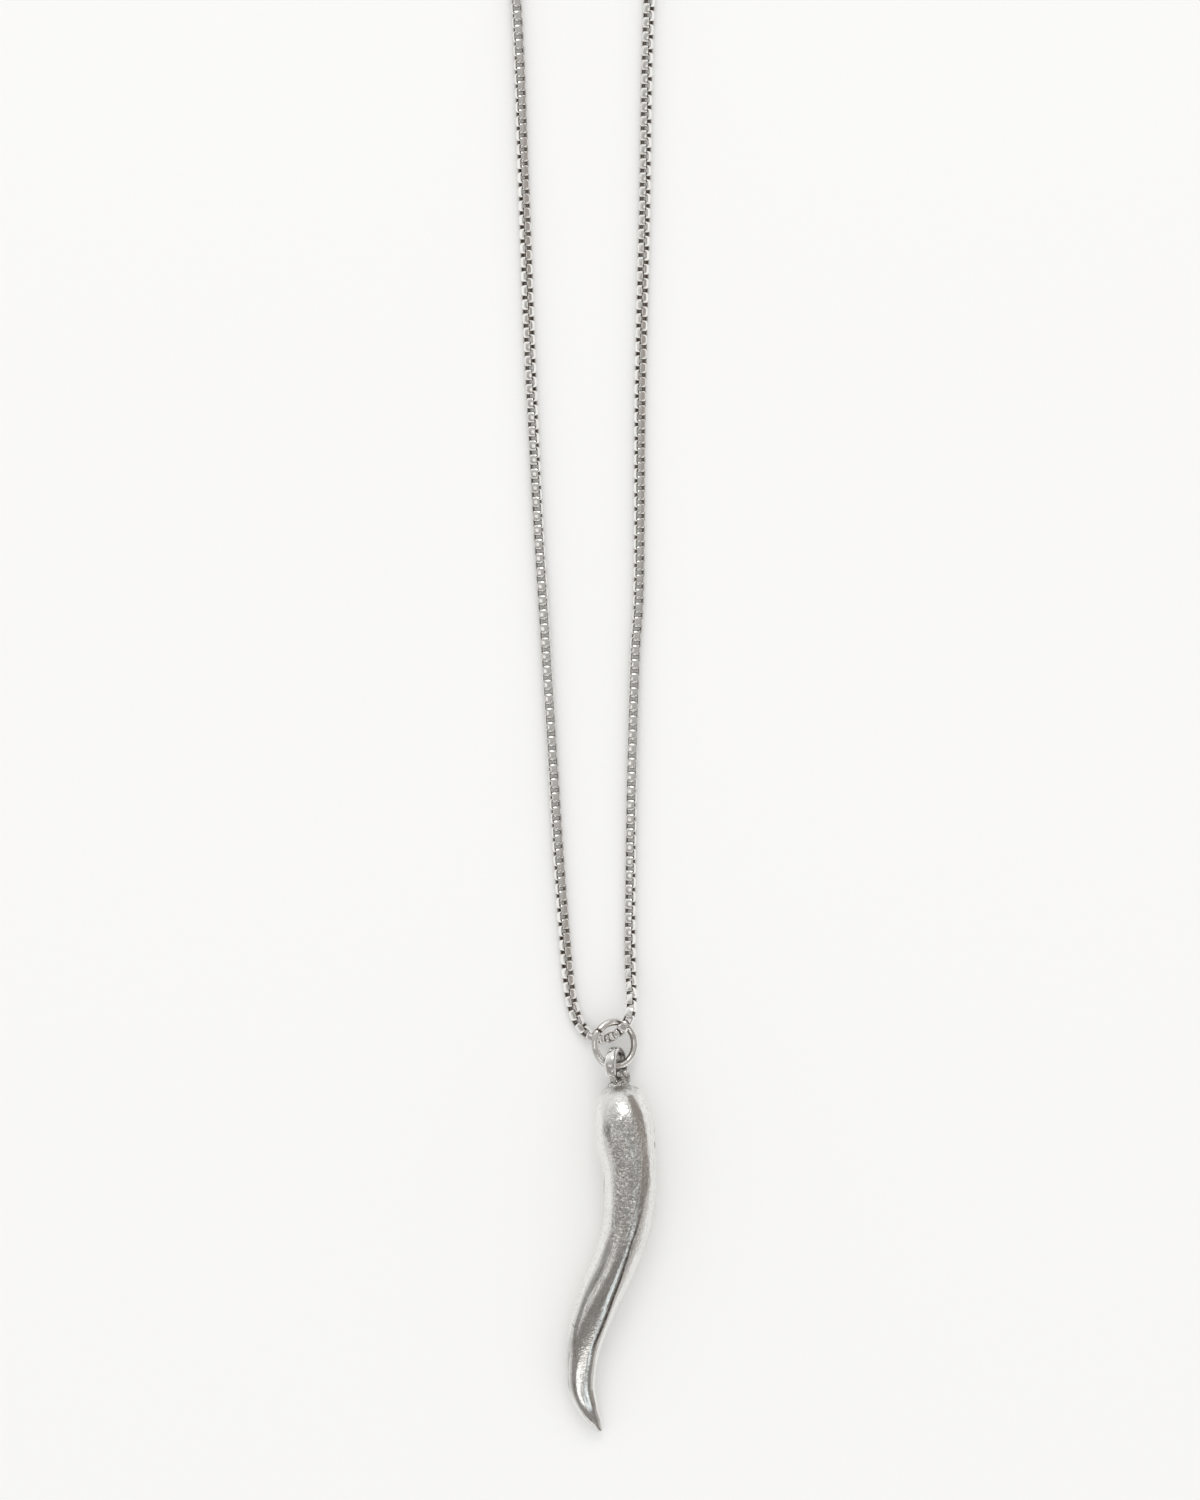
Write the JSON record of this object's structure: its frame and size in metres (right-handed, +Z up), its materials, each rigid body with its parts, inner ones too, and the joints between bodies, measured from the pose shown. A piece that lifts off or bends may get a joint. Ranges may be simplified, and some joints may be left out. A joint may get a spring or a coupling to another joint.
{
  "type": "cornicello horn pendant necklace",
  "caption": "Cast silver horn pendant with a loop, hung by a jump ring on a closed box chain with a plain spring ring, laid flat.",
  "frame": {"origin": "middle of the outline's box, on the surface that the necklace lies on", "axes": "+Y from the horn's tip to the clasp, +X to the right, +Z up from the surface"},
  "size_m": [0.0472, 0.2786, 0.0067],
  "materials": {
    "cast_silver": "tumbled cast silver, softly bright, with a fine casting grain and lengthwise polishing streaks",
    "silver_wire": "drawn silver wire, bright, with light handling marks",
    "chain_silver": "bright box links, darker inside their windows",
    "clasp_silver": "bright polished silver tube"
  },
  "bodies": {
    "root": {"horn": "cast_silver", "jump_ring": "silver_wire", "chain": "chain_silver", "clasp": "clasp_silver"}
  },
  "joints": []
}
